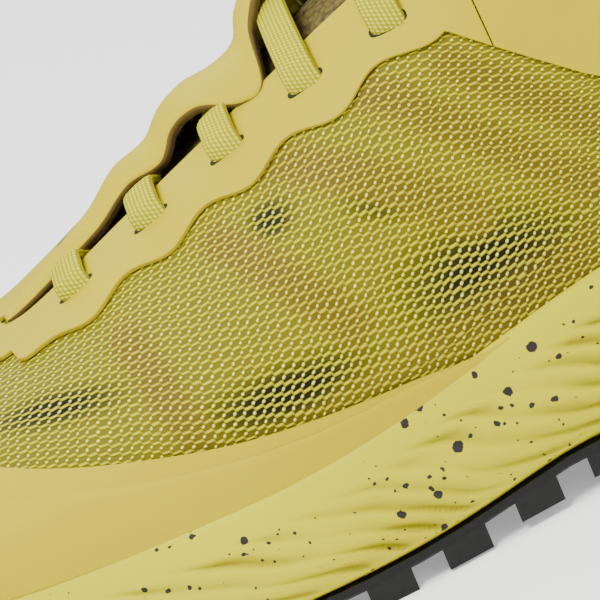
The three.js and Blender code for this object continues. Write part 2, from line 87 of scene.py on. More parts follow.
# Studio: a pale paper floor that glows a little, white surroundings and three soft panels.
# The smallest panel is above the toe, the others light the heel side and the back.
def linear(hexadecimal):
    channels = [int(hexadecimal[i:i + 2], 16) / 255 for i in (0, 2, 4)]
    return (*[c / 12.92 if c <= 0.04045 else ((c + 0.055) / 1.055) ** 2.4 for c in channels], 1.0)


def add(tree, kind, links=None, **settings):
    made = tree.nodes.new("ShaderNode" + kind)
    for name, value in settings.items():
        setattr(made, name, value)
    for socket, source in (links or {}).items():
        if isinstance(source, bpy.types.NodeSocket):
            tree.links.new(source, made.inputs[socket])
        else:
            made.inputs[socket].default_value = source
    return made


def material(name):
    made = bpy.data.materials.new(name)
    made.use_nodes = True
    tree = made.node_tree
    return made, tree, tree.nodes["Principled BSDF"]


def finished(mesh, name, surface):
    piece = bpy.data.objects.new(name, mesh)
    bpy.context.collection.objects.link(piece)
    mesh.materials.append(surface)
    for face in mesh.polygons:
        face.use_smooth = True
    return piece


floor_finish, tree, shader = material("pale_paper")
shader.inputs["Base Color"].default_value = linear("ffffff")
shader.inputs["Roughness"].default_value = 0.9
shader.inputs["Emission Color"].default_value = (1, 1, 1, 1)
shader.inputs["Emission Strength"].default_value = 0.35
bm = bmesh.new()
bmesh.ops.create_grid(bm, x_segments=1, y_segments=1, size=30)
floor_mesh = bpy.data.meshes.new("floor")
bm.to_mesh(floor_mesh)
bm.free()
finished(floor_mesh, "floor", floor_finish)

world = bpy.data.worlds.new("studio")
bpy.context.scene.world = world
world.use_nodes = True
world.node_tree.nodes["Background"].inputs["Color"].default_value = (1, 1, 1, 1)
world.node_tree.nodes["Background"].inputs["Strength"].default_value = 0.36
for name, place, size, power in (
    ("key", (-60, -280, 600), 0.3, 8.5),
    ("fill", (500, -700, 300), 0.7, 2.6),
    ("rim", (0, 500, 600), 0.6, 6),
):
    lamp = bpy.data.lights.new(name, "AREA")
    lamp.energy, lamp.size = power, size
    light = bpy.data.objects.new(name, lamp)
    light.location = metres(place)
    light.rotation_euler = (metres(SIGHT) - light.location).to_track_quat("-Z", "Y").to_euler()
    bpy.context.collection.objects.link(light)

# Last: the form that every layer of the upper follows, through sections that stand across
# the foot and lean back round the heel. Columns: where a section starts and ends along the
# shoe, how high, and how its corner and crown are rounded.
LENGTH, BALL, HEEL = 292, 112, 88
LAST_BALL, LAST_HEEL = 100, 74
FOREFOOT_STACK, HEEL_STACK, TOE_SPRING, HEEL_BEVEL, ARCH_RISE = 23, 31, 13, 6, 3
INSTEP, HEEL_TAB, ANKLE = 108, 104, 79
TOE_GAP, TOE_BOX, TOE_ROUND, HEEL_ROUND = 5, 26, 0.2, 0.15
TOE_POINT = 0.07 * BALL
LAST = [
    ("at", "foot", "lift", "shin", "top", "corner", "crown", "bow"),
    (0.0, 0.017, 0.0, 0.017, 0.44, 0.3, 0.65, 2.3),
    (0.08, 0.09, 0.0, 0.09, 0.47, 0.3, 0.68, 2.3),
    (0.16, 0.17, 0.0, 0.17, 0.495, 0.28, 0.75, 2.15),
    (0.25, 0.277, 0.0, 0.277, 0.565, 0.22, 0.8, 2.0),
    (0.34, 0.385, 0.0, 0.377, 0.69, 0.18, 0.82, 1.9),
    (0.42, 0.51, 0.0, 0.473, 0.815, 0.16, 0.82, 1.95),
    (0.5, 0.64, 0.0, 0.534, 0.9, 0.16, 0.76, 2.1),
    (0.58, 0.76, 0.0, 0.575, 0.96, 0.18, 0.62, 2.2),
    (0.66, 0.868, 0.0, 0.6, 1.005, 0.24, 0.5, 2.2),
    (0.73, 0.938, 0.05, 0.613, 1.045, 0.34, 0.42, 2.2),
    (0.79, 0.972, 0.2, 0.623, 1.085, 0.4, 0.4, 2.1),
    (0.85, 0.98, 0.36, 0.631, 1.12, 0.42, 0.4, 2.0),
    (0.91, 0.97, 0.54, 0.637, 1.155, 0.42, 0.4, 2.0),
    (0.96, 0.963, 0.7, 0.641, 1.19, 0.42, 0.4, 2.0),
    (1.0, 0.97, 0.9, 0.646, 1.25, 0.42, 0.4, 2.0),
]
LAST_PLAN = [
    ("at", "lateral", "medial"),
    (0.0, 0.4, 0.43), (0.1, 0.42, 0.45), (0.2, 0.46, 0.485), (0.3, 0.49, 0.5), (0.38, 0.5, 0.485),
    (0.5, 0.48, 0.44), (0.6, 0.475, 0.43), (0.7, 0.48, 0.445), (0.82, 0.49, 0.48), (1.0, 0.48, 0.47),
]
SOLE_PLAN = [
    ("at", "lateral", "medial"),
    (0.0, 0.4, 0.42), (0.1, 0.42, 0.435), (0.2, 0.455, 0.475), (0.3, 0.485, 0.5), (0.38, 0.5, 0.485),
    (0.5, 0.475, 0.425), (0.6, 0.47, 0.41), (0.7, 0.48, 0.435), (0.82, 0.5, 0.48), (1.0, 0.49, 0.48),
]
RIM = [
    ("at", "rise"),
    (0.0, 11), (0.1, 8), (0.23, 6.5), (0.4, 5.5), (0.54, 7.5), (0.62, 8.5), (0.8, 9.5), (1.0, 12),
]


def clamp(value, low=0.0, high=1.0):
    return max(low, min(high, value))


def lerp(a, b, share):
    return a + (b - a) * share


def smooth(value, low, high):
    share = clamp((value - low) / (high - low))
    return share * share * (3 - 2 * share)


def along(table, column, at):
    k = table[0].index(column)
    rows = table[1:]
    last = len(rows) - 1
    i = 0
    while i < last - 1 and at > rows[i + 1][0]:
        i += 1

    def slope(j):
        before, after = rows[max(0, j - 1)], rows[min(last, j + 1)]
        return (after[k] - before[k]) / (after[0] - before[0])

    span = rows[i + 1][0] - rows[i][0]
    u = clamp((at - rows[i][0]) / span)
    rise = rows[i + 1][k] - rows[i][k]
    bend = u * (1 - u)
    ease = rise * u * u * (3 - 2 * u)
    return rows[i][k] + ease + span * bend * ((1 - u) * slope(i) - u * slope(i + 1))


def round_off(distance, reach, power):
    return (1 - (1 - clamp(distance / reach)) ** power) ** (1 / power)


def ground(at):
    toe = TOE_SPRING * clamp((0.25 - at) / 0.25) ** 1.9
    heel = HEEL_BEVEL * clamp((at - 0.87) / 0.13) ** 2
    return toe + heel + ARCH_RISE * math.exp(-(((at - 0.58) / 0.075) ** 2))


def bed(at):
    toe = TOE_SPRING * clamp((0.25 - at) / 0.25) ** 1.9
    return lerp(FOREFOOT_STACK, HEEL_STACK, smooth(at, 0.35, 0.75)) + 0.85 * toe


def rim(at):
    return bed(at) + along(RIM, "rise", at)


def boot_width(at, ball, heel):
    return lerp(ball, heel, smooth(at, 0.42, 0.72))


def sole_edge(side, at):
    plain = along(SOLE_PLAN, side, at) * boot_width(at, BALL, HEEL)
    turned = round_off(at, TOE_ROUND, 2.3) * round_off(1 - at, HEEL_ROUND, 2.2)
    middle = TOE_POINT if side == "medial" else -TOE_POINT
    centre = middle * clamp(1 - at / TOE_ROUND)
    return centre + (plain - centre) * turned


def section(share, side):
    row = {name: along(LAST, name, share) for name in LAST[0][1:]}
    sign = 1 if side == "medial" else -1
    foot_x, shin_x = row["foot"] * LENGTH, row["shin"] * LENGTH
    foot_z = bed(row["foot"]) + row["lift"] * HEEL_TAB
    shin_z = foot_z + (row["top"] * INSTEP - foot_z) * round_off(foot_x - TOE_GAP, TOE_BOX, 2.3)
    corner_power = lerp(7, 2.1, smooth(share, 0.6, 0.8))
    start = row["corner"]
    end = max(start + 0.02, 1 - row["crown"])

    def place(t):
        if t < 0.25:
            turn_share, bias = t / 0.25, corner_power / 2
            if turn_share < 0.5:
                angle = math.pi / 4 * (2 * turn_share) ** bias
            else:
                angle = math.pi / 2 - math.pi / 4 * (2 - 2 * turn_share) ** bias
            closing = math.sin(angle) ** (2 / corner_power)
            height = start * (1 - max(0, math.cos(angle)) ** (2 / corner_power))
        elif t < 0.35:
            closing, height = 1, lerp(start, end, (t - 0.25) / 0.1)
        else:
            angle = (1 - (t - 0.35) / 0.65) * math.pi / 2
            closing = max(0, math.sin(angle)) ** (2 / row["bow"])
            height = 1 - (1 - end) * (1 - max(0, math.cos(angle)) ** (2 / row["bow"]))
        x, z = lerp(foot_x, shin_x, height), lerp(foot_z, shin_z, height)
        at = x / LENGTH
        lean = 1 - 0.2 * smooth(z, bed(at) + 12, HEEL_TAB)
        lean = lerp(1, lean, smooth(at, 0.45, 0.7))
        plain = lean * along(LAST_PLAN, side, at) * boot_width(at, LAST_BALL, LAST_HEEL)
        middle = sign * TOE_POINT * clamp(1.15 - at / 0.45)
        edge = middle + (plain - middle) * round_off(at - TOE_GAP / LENGTH, TOE_ROUND, 2.3)
        return Vector((x, sign * (middle + (edge - middle) * closing), z))

    return place


sections = {}
SAMPLES = 64


def ring(share, side):
    key = (round(share, 5), side)
    if key not in sections:
        place = section(share, side)
        spots = [place(k / SAMPLES) for k in range(SAMPLES + 1)]
        arcs = [0.0]
        for a, b in zip(spots, spots[1:]):
            arcs.append(arcs[-1] + (b - a).length)
        sections[key] = (place, spots, arcs)
    return sections[key]


def on_last(share, side, t, out):
    place = ring(share, side)[0]
    spot = place(t)
    if not out:
        return spot
    step = place(min(1, t + 0.01)) - place(max(0, t - 0.01))
    near, far = max(0.004, share - 0.004), min(1, share + 0.004)
    run = ring(far, side)[0](t) - ring(near, side)[0](t)
    normal = step.cross(run).normalized()
    heart = Vector((clamp(spot.x, 60, 230), 0, 45))
    if normal.dot(spot - heart) < 0:
        normal = -normal
    return spot + normal * out


def first_share(share, side, reached, begin=0.0):
    """Where a section, followed up from the sole, first meets a line."""
    place, spots, _ = ring(share, side)
    first = int(begin * SAMPLES)
    for k in range(first, SAMPLES + 1):
        if reached(spots[k]):
            if k == first:
                return k / SAMPLES
            low, high = (k - 1) / SAMPLES, k / SAMPLES
            for _ in range(12):
                middle = (low + high) / 2
                if reached(place(middle)):
                    high = middle
                else:
                    low = middle
            return high
    return 1.0


def share_of_arc(share, side, wanted):
    arcs = ring(share, side)[2]
    k = min(SAMPLES - 1, max(0, bisect.bisect_right(arcs, wanted) - 1))
    return (k + clamp((wanted - arcs[k]) / max(0.001, arcs[k + 1] - arcs[k]))) / SAMPLES


def arc_at(share, side, t):
    arcs = ring(share, side)[2]
    k = min(SAMPLES - 1, int(t * SAMPLES))
    return lerp(arcs[k], arcs[k + 1], t * SAMPLES - k)


THROAT_START, THROAT_END, THROAT_FOOT, THROAT_TOP = 80, 172, 2.5, 17
THROAT_TAIL, THROAT_FLOOR, THROAT_ROUND = 30, 45, 6
COLLAR_LEAD, NO_COLLAR = 6, 999
COLLAR = [
    ("at", "z"),
    (THROAT_END - COLLAR_LEAD, INSTEP + 4), (THROAT_END + 2, INSTEP - 5),
    (THROAT_END + 12, lerp(ANKLE, INSTEP, 0.62)),
    (THROAT_END + 26, lerp(ANKLE, INSTEP, 0.3)), (THROAT_END + 42, lerp(ANKLE, INSTEP, 0.07)),
    (THROAT_END + 56, ANKLE), (THROAT_END + 72, lerp(ANKLE, HEEL_TAB, 0.12)),
    (THROAT_END + 88, lerp(ANKLE, HEEL_TAB, 0.5)), (THROAT_END + 100, lerp(ANKLE, HEEL_TAB, 0.88)),
    (THROAT_END + 108, HEEL_TAB), (LENGTH + 10, HEEL_TAB),
]


def collar_height(x):
    return along(COLLAR, "z", x) if x > THROAT_END - COLLAR_LEAD else NO_COLLAR


def throat_edge(x):
    share = clamp((x - THROAT_START) / (THROAT_END - THROAT_START))
    width = lerp(THROAT_FOOT, THROAT_TOP, share ** 0.8)
    return width * round_off(x - THROAT_START, THROAT_ROUND, 2)


def at_opening(spot):
    over_throat = THROAT_START < spot.x < THROAT_END + THROAT_TAIL and spot.z > THROAT_FLOOR
    in_throat = over_throat and abs(spot.y) < throat_edge(spot.x)
    return in_throat or spot.z > collar_height(spot.x)


def last_opening(share, side):
    return first_share(share, side, at_opening)


def rim_share(share, side, above=0.0):
    return first_share(share, side, lambda spot: spot.z > rim(spot.x / LENGTH) + above)


def heel_share():
    """The section whose foot lies on the collar line at the back of the heel."""
    low, high = 0.85, 1.0
    for _ in range(20):
        middle = (low + high) / 2
        if ring(middle, "medial")[1][0].z > HEEL_TAB:
            high = middle
        else:
            low = middle
    return low


BACK = heel_share()
HEEL_BLEND = (195, 245)


def sheet_on_last(name, columns, rows, start, end, low, high, out, paint=None):
    """A sheet that lies on the last between two lines, one grid a side, joined where they meet."""
    bm = bmesh.new()
    chart = bm.loops.layers.uv.new("chart")
    zones = bm.verts.layers.float_color.new("zones")
    for side in ("lateral", "medial"):
        part = bmesh.new()
        bmesh.ops.create_grid(part, x_segments=columns, y_segments=rows, size=0.5)
        part_chart = part.loops.layers.uv.new("chart")
        part_zones = part.verts.layers.float_color.new("zones")
        flat, spans = {}, {}
        for vert in part.verts:
            share = lerp(start, end, vert.co.x + 0.5)
            if vert.co.x not in spans:
                lowest = low(share, side)
                highest = max(lowest + 0.001, high(share, side))
                levels = (lowest, highest, rim_share(share, side))
                spans[vert.co.x] = [arc_at(share, side, t) for t in levels]
            arc_low, arc_high, arc_rim = spans[vert.co.x]
            arc = lerp(arc_low, arc_high, vert.co.y + 0.5)
            t = share_of_arc(share, side, arc)
            height = arc - arc_rim
            proud = out(share, side, vert.co.y + 0.5) if callable(out) else out
            spot = on_last(share, side, t, proud)
            height = lerp(height, spot.z - rim(spot.x / LENGTH), smooth(spot.x, *HEEL_BLEND))
            round_heel = smooth(spot.x, *HEEL_BLEND) * (LAST_HEEL / 2 - abs(spot.y))
            flat[vert] = (spot.x + round_heel, height)
            if paint:
                vert[part_zones] = paint(spot.x, height)
            vert.co = metres(spot)
        for face in part.faces:
            for loop in face.loops:
                loop[part_chart].uv = flat[loop.vert]
        if side == "medial":
            bmesh.ops.reverse_faces(part, faces=part.faces)
        piece = bpy.data.meshes.new(name + side)
        part.to_mesh(piece)
        part.free()
        bm.from_mesh(piece)
        bpy.data.meshes.remove(piece)
    bmesh.ops.remove_doubles(bm, verts=bm.verts, dist=0.02 * MM)
    mesh = bpy.data.meshes.new(name)
    bm.to_mesh(mesh)
    bm.free()
    return mesh


def thicken(piece, millimetres, offset=1.0):
    wall = piece.modifiers.new("wall", "SOLIDIFY")
    wall.thickness, wall.offset = millimetres * MM, offset


# Upper: one woven shell of citron yarn with tan support bands and open windows, whose gaps are painted near
# black as shade.
# The weave runs down towards the heel; slanting floats alternate with small knots that carry a painted
# highlight, and the gaps and under strands are painted darker as shade.
ROW_PITCH, FLOAT_PITCH, WEAVE_TURN = 1.8, 1.85, math.radians(-21)
TOE_SHARE, UPPER_FOOT, MESH_WALL = 0.004, 2.3, 1.5
BANDS = [  # ends of each tan band: along the shoe, and up from the rim
    ((131, 57), (150, 38), 3.5), ((121, 46), (137, 18), 3.5), ((99, 38), (103, 12), 3.5),
    ((150, 38), (165, 22), 3.5), ((150, 60), (188, 14), 3.5), ((172, 50), (206, 10), 3.5),
]
WINDOWS = [  # middle, half sizes and turn of each open window
    ((121, 14), (17, 5.5), -8), ((165, 11), (21, 11), -20), ((82, 31), (14, 4.5), -15),
    ((131, 43), (5, 4), -30), ((204, 20), (15, 7), -25), ((152, 33), (9, 4), -30),
]


def weave_zones(x, height):
    tan = 0.0
    for (x0, h0), (x1, h1), half in BANDS:
        a, b = Vector((x0, h0)), Vector((x1, h1))
        share = clamp((Vector((x, height)) - a).dot(b - a) / (b - a).length_squared)
        away = (Vector((x, height)) - a.lerp(b, share)).length
        tan = max(tan, 1 - smooth(away, half * 0.4, half * 1.6))
    # Each window makes the gaps of the weave near black: painted shade of the inside seen through the open
    # weave.
    window_shade = 0.0
    for (cx, ch), (rx, rh), degrees in WINDOWS:
        spin = math.radians(-degrees)
        dx, dh = x - cx, height - ch
        u = (dx * math.cos(spin) - dh * math.sin(spin)) / rx
        v = (dx * math.sin(spin) + dh * math.cos(spin)) / rh
        window_shade = max(window_shade, 1 - smooth(math.hypot(u, v), 0.3, 1.35))
    window_shade = window_shade * (1 - 0.8 * tan)
    edge = 1 - smooth(height, 6, 13)
    return (window_shade, clamp(tan + 0.6 * edge), 0, 1)


weave, tree, shader = material("woven_mesh")
chart = add(tree, "UVMap", uv_map="chart")
spun = add(tree, "Mapping", {"Vector": chart.outputs[0], "Rotation": (0, 0, -WEAVE_TURN)})
wobble = add(
    tree, "TexNoise", {"Vector": spun.outputs[0], "Scale": 0.12, "Detail": 1.0}, noise_dimensions="2D")
drift = add(tree, "VectorMath", {0: wobble.outputs["Color"], 1: (0.5, 0.5, 0.5)}, operation="SUBTRACT")
drift = add(tree, "VectorMath", {0: drift.outputs[0], "Scale": 1.2}, operation="SCALE")
warped = add(tree, "VectorMath", {0: spun.outputs[0], 1: drift.outputs[0]})
pitches = (1 / FLOAT_PITCH, 1 / ROW_PITCH, 1)
cells = add(tree, "VectorMath", {0: warped.outputs[0], 1: pitches}, operation="MULTIPLY")


def math_node(operation, *values, clamped=False):
    return add(tree, "Math", dict(enumerate(values)), operation=operation, use_clamp=clamped).outputs[0]


def cell_offset(shift_x, shift_y):
    moved = add(tree, "VectorMath", {0: cells.outputs[0], 1: (shift_x, shift_y, 0)})
    part = add(tree, "VectorMath", {0: moved.outputs[0]}, operation="FRACTION")
    centred = add(tree, "VectorMath", {0: part.outputs[0], 1: (0.5, 0.5, 0)}, operation="SUBTRACT")
    split = add(tree, "SeparateXYZ", {0: centred.outputs[0]})
    return split.outputs[0], split.outputs[1]


def strand(shift_x, shift_y, degrees, half_length, half_width):
    a, b = cell_offset(shift_x, shift_y)
    c, s = math.cos(math.radians(degrees)), math.sin(math.radians(degrees))
    run = math_node("ADD", math_node("MULTIPLY", a, c), math_node("MULTIPLY", b, s))
    side = math_node("SUBTRACT", math_node("MULTIPLY", b, c), math_node("MULTIPLY", a, s))
    reach = math_node("MAXIMUM", math_node("SUBTRACT", math_node("ABSOLUTE", run), half_length), 0.0)
    away = math_node("SQRT", math_node("ADD", math_node("POWER", reach, 2.0), math_node("POWER", side, 2.0)))
    share = math_node("DIVIDE", away, half_width)
    return math_node("SUBTRACT", 1.0, math_node("MULTIPLY", share, share), clamped=True)


floats = strand(0, 0, 24, 0.27, 0.2)
knots = strand(0.5, 0.5, 60, 0.05, 0.19)
under = strand(0.5, 0.0, -50, 0.26, 0.16)
raised = math_node("MAXIMUM", floats, knots)
relief = math_node("MAXIMUM", raised, math_node("MULTIPLY", under, 0.45))
zones = add(tree, "Attribute", attribute_name="zones")
split = add(tree, "SeparateColor", {0: zones.outputs["Color"]})
fuzz = add(tree, "TexNoise", {"Vector": chart.outputs[0], "Scale": 2.6, "Detail": 3.0}, noise_dimensions="2D")
# Painted shade: the gaps between the strands are dark olive, near black in the windows, and the under strands
# are a darker yellow than the floats.
gap_shade_tone = add(tree, "MixRGB", {0: split.outputs[0], 1: linear("676002"), 2: linear("121101")})
gap_shade_tone = add(tree, "MixRGB", {0: split.outputs[1], 1: gap_shade_tone.outputs[0], 2: linear("5e5008")})
under_strand_shade = add(tree, "MixRGB", {0: split.outputs[1], 1: linear("8c8206"), 2: linear("847410")})
yarn_tone = add(tree, "MixRGB", {0: split.outputs[1], 1: linear("c4be20"), 2: linear("bcac30")})
yarn_tone = add(tree, "MixRGB", {
    0: math_node("MULTIPLY", fuzz.outputs["Fac"], 0.5), 1: yarn_tone.outputs[0], 2: linear("aaa214"),
})
# Painted highlight: the knots are lifted to pale yellow as if catching the light.
knot_highlight = add(tree, "MixRGB", {0: knots, 1: yarn_tone.outputs[0], 2: linear("efeb7c")})
lower = add(tree, "MixRGB", {
    0: math_node("MULTIPLY", under, 0.8), 1: gap_shade_tone.outputs[0], 2: under_strand_shade.outputs[0],
})
# Colour follows the relief, so the lowest parts of the weave carry the most painted shade.
mixed = add(tree, "MixRGB", {0: math_node("POWER", raised, 0.6), 1: lower.outputs[0], 2: knot_highlight.outputs[0]})
bump = add(tree, "Bump", {"Height": relief, "Strength": 0.9, "Distance": 0.5 * MM})
tree.links.new(mixed.outputs[0], shader.inputs["Base Color"])
tree.links.new(bump.outputs[0], shader.inputs["Normal"])
shader.inputs["Roughness"].default_value = 0.62
shader.inputs["Specular IOR Level"].default_value = 0.1

mesh = sheet_on_last(
    "upper_mesh", 300, 110, TOE_SHARE, BACK,
    lambda share, side: first_share(share, side, lambda s: s.z > bed(s.x / LENGTH) + UPPER_FOOT),
    last_opening, 0.0, weave_zones)
upper = finished(mesh, "woven_upper", weave)
thicken(upper, MESH_WALL, -1.0)
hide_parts("upper")
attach(upper, "root")

# Films: thin matte polyurethane welded over the mesh, with a faint ripstop ripple.
# Eyestay with a lobe at each lace row, quarter round the collar, mudguard round the toe.
EYESTAY_WIDTH, EYESTAY_ROUND, SCALLOP, FIRST_ROW, ROW_STEP, ROWS = 16, 8, 1.6, 95, 17.5, 5
FILM, LIFT = 0.8, 0.35
QUARTER_DEPTH = 20
film_finish, tree, shader = material("welded_film")
place = add(tree, "TexCoord")
ripple = add(tree, "TexWave", {"Vector": place.outputs["Object"], "Scale": 260.0, "Distortion": 1.5})
ripple.bands_direction = "DIAGONAL"
grain = add(tree, "TexNoise", {"Vector": place.outputs["Object"], "Scale": 1400.0, "Detail": 3.0})
shade = add(tree, "TexNoise", {"Vector": place.outputs["Object"], "Scale": 40.0, "Detail": 2.0})
tone = add(tree, "MixRGB", {0: shade.outputs["Fac"], 1: linear("ac9a00"), 2: linear("b4a400")})
waves = math_node("MULTIPLY", ripple.outputs["Fac"], 0.5)
both = math_node("ADD", waves, math_node("MULTIPLY", grain.outputs["Fac"], 0.6))
bump = add(tree, "Bump", {"Height": both, "Strength": 0.35, "Distance": 0.12 * MM})
tree.links.new(tone.outputs[0], shader.inputs["Base Color"])
tree.links.new(bump.outputs[0], shader.inputs["Normal"])
shader.inputs["Roughness"].default_value = 0.55
shader.inputs["Specular IOR Level"].default_value = 0.1


def eyestay_low(share, side):
    """The scalloped outer edge, measured down the surface from the throat or the centre line."""
    opening = last_opening(share, side)
    x = ring(share, side)[0](opening).x
    lobe = SCALLOP * math.cos(2 * math.pi * (x - FIRST_ROW) / ROW_STEP)
    start = round_off(x - (THROAT_START - EYESTAY_WIDTH), EYESTAY_WIDTH + EYESTAY_ROUND, 2)
    depth = (EYESTAY_WIDTH + lobe) * start
    wanted = arc_at(share, side, opening) - depth
    t = share_of_arc(share, side, wanted)
    lower = first_share(share, side, lambda s: s.z > wing(s.x))
    return min(t, lower) if x > WING_START - WING_LEAD else t


def share_at(x):
    """The section that reaches a distance from the toe at the top of the instep."""
    low, high = 0.0, 0.7
    for _ in range(20):
        middle = (low + high) / 2
        if along(LAST, "shin", middle) * LENGTH > x:
            high = middle
        else:
            low = middle
    return low


def film(name, node, *grid):
    piece = finished(sheet_on_last(name, *grid), name, film_finish)
    thicken(piece, FILM, 1.0)
    soft = piece.modifiers.new("edge", "BEVEL")
    soft.width, soft.segments, soft.limit_method, soft.angle_limit = 0.25 * MM, 2, "ANGLE", 0.9
    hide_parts(node)
    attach(piece, "root")
    return piece


EYESTAY_END, SEAM = 180, 0.3
WING_START, WING_LEAD, WING_TOP, WING_FALL = 162, 12, 96, 0.8125
WING_END = EYESTAY_END + 14


def cut_off(piece, x, keep_toe):
    bm = bmesh.new()
    bm.from_mesh(piece.data)
    bmesh.ops.bisect_plane(
        bm, geom=bm.verts[:] + bm.edges[:] + bm.faces[:], plane_co=metres((x, 0, 0)), plane_no=(1, 0, 0),
        clear_outer=keep_toe, clear_inner=not keep_toe)
    bm.to_mesh(piece.data)
    bm.free()


def wing(x):
    return WING_TOP - WING_FALL * (x - WING_START)


def quarter_edge(x):
    if x < WING_END:
        return wing(x)
    return min(wing(WING_END), collar_height(x) - QUARTER_DEPTH)


def quarter_low(share, side):
    return first_share(share, side, lambda s: s.z > quarter_edge(s.x))


eyestay = film("eyestay_film", "eyestay", 280, 24, share_at(THROAT_START - EYESTAY_WIDTH + 0.5),
               share_at(EYESTAY_END - 1), eyestay_low, last_opening, LIFT)
cut_off(eyestay, EYESTAY_END, True)
quarter = film("quarter_film", "quarter", 220, 24, share_at(WING_START), BACK,
               quarter_low, last_opening, LIFT)
cut_off(quarter, EYESTAY_END + SEAM, False)
MUDGUARD = [
    ("at", "z"),
    (0, 80), (32, 62), (45, 56), (58, 52), (69, 48), (82, 44.5), (96, 41.5), (110, 38.8),
    (122, 37.3), (134, 36.1), (146, 35), (158, 33),
]
STEP = 0.5
film("mudguard_film", "mudguard", 220, 30, TOE_SHARE, 0.45,
     lambda share, side: rim_share(share, side, -1.0),
     lambda share, side: first_share(share, side, lambda s: s.z > along(MUDGUARD, "z", s.x)),
     lambda share, side, v: LIFT + STEP * (1 - smooth(v, 0.68, 0.73)))

# Midsole: moulded foam with a smooth rim and flowing ribs, flecked with black.
# The ribs lean down towards the heel, merge and part, and fade out at rim and tread; the grooves between them
# are painted darker as shade.
LUG, TREAD, CLEARANCE = 4, 2.2, 0.3
SIDE = [
    ("at", "inset"),
    (0.0, 5), (0.08, 2.4), (0.2, 0.8), (0.32, 0), (0.44, 0.2), (0.56, 0.7), (0.67, 1.4),
    (0.78, 2.2), (0.9, 3), (0.97, 3.9), (1.0, 5.2),
]
RIB_PITCH, RIB_SLOPE, RIB_DEPTH, RIM_BAND, RIM_FADE = 3.9, 0.36, 1.7, 4.5, 4
SEAT_SEARCH, SEAT_DEPTH, TUCK, BED_GAP = 40, 4, 3, 0.5


def sole_stations(count):
    turn = round(count * 0.22)
    shares = []
    for k in range(turn):
        shares.append(TOE_ROUND * (1 - math.cos((0.03 + 0.97 * k / turn) * math.pi / 2)))
    middle = count - 2 * turn
    shares += [lerp(TOE_ROUND, 1 - HEEL_ROUND, k / middle) for k in range(middle + 1)]
    for k in range(turn - 1, -1, -1):
        shares.append(1 - HEEL_ROUND * (1 - math.cos((0.03 + 0.97 * k / turn) * math.pi / 2)))
    return shares


def sole_loop(count):
    """Points round the sole's outline with their outward directions."""
    shares = sole_stations(count)
    spots = [(at, Vector((at * LENGTH, sole_edge("medial", at)))) for at in shares]
    spots += [(at, Vector((at * LENGTH, -sole_edge("lateral", at)))) for at in reversed(shares)]
    loop = []
    for i, (at, spot) in enumerate(spots):
        before, after = spots[i - 1][1], spots[(i + 1) % len(spots)][1]
        run = (after - before).normalized()
        loop.append((at, spot, Vector((-run.y, run.x))))
    return loop


def rib(x, z, top, under):
    wander = 0.8 * noise.noise((x / 34, z / 13, 3.1)) + 0.2 * noise.noise((x / 12, z / 7, 8.4))
    phase = (z + RIB_SLOPE * x) / RIB_PITCH + wander
    wave = (1 - phase % 1) ** 1.6 * smooth(phase % 1, 0, 0.16)
    strength = clamp(0.7 + 0.9 * noise.noise((x / 14, z / 6, 1.7)), 0.15, 1.2)
    inside = smooth(top - z, RIM_BAND, RIM_BAND + RIM_FADE) * smooth(z - under, 0.5, 3)
    return -RIB_DEPTH * wave * strength * inside


def ringed(name, loops, depths=None):
    """A closed mesh through loops of equal size, extruded one from the other."""
    bm = bmesh.new()
    groove_shade = bm.verts.layers.float.new("groove_shade")
    size = len(loops[0])
    bmesh.ops.create_circle(bm, cap_ends=False, segments=size, radius=1)
    bm.verts.ensure_lookup_table()
    ordered = list(bm.verts)
    edges = list(bm.edges)
    for vert, spot in zip(ordered, loops[0]):
        vert.co = metres(spot)
    first = list(ordered)
    for level, spots in enumerate(loops[1:], 1):
        grown = bmesh.ops.extrude_edge_only(bm, edges=edges)["geom"]
        fresh = {v for v in grown if isinstance(v, bmesh.types.BMVert)}
        following = []
        for vert in ordered:
            following.append(next(e.other_vert(vert) for e in vert.link_edges if e.other_vert(vert) in fresh))
        edges = [e for e in grown if isinstance(e, bmesh.types.BMEdge) and fresh.issuperset(e.verts)]
        ordered = following
        for k, (vert, spot) in enumerate(zip(ordered, spots)):
            vert.co = metres(spot)
            # Each ring stores how deep its rib sinks, for the painted shade in the foam's grooves.
            vert[groove_shade] = depths[level][k] if depths else 0.0
    bm.faces.new(first)
    bm.faces.new(ordered)
    bmesh.ops.recalc_face_normals(bm, faces=bm.faces)
    mesh = bpy.data.meshes.new(name)
    bm.to_mesh(mesh)
    bm.free()
    return mesh


TREE_COLUMNS, TREE_ROWS = 160, 60


def last_tree():
    """The last's outer surface, to lay laces, lip and slots on and to seat the foam against."""
    spots, faces = [], []
    for side in ("lateral", "medial"):
        base = len(spots)
        for i in range(TREE_COLUMNS + 1):
            for k in range(TREE_ROWS + 1):
                spots.append(tuple(on_last(lerp(0.01, 1, i / TREE_COLUMNS), side, k / TREE_ROWS, 0)))
        for i in range(TREE_COLUMNS):
            for k in range(TREE_ROWS):
                near = base + i * (TREE_ROWS + 1) + k
                far = near + TREE_ROWS + 1
                faces.append((near, near + 1, far + 1, far))
    return BVHTree.FromPolygons(spots, faces)


form = last_tree()


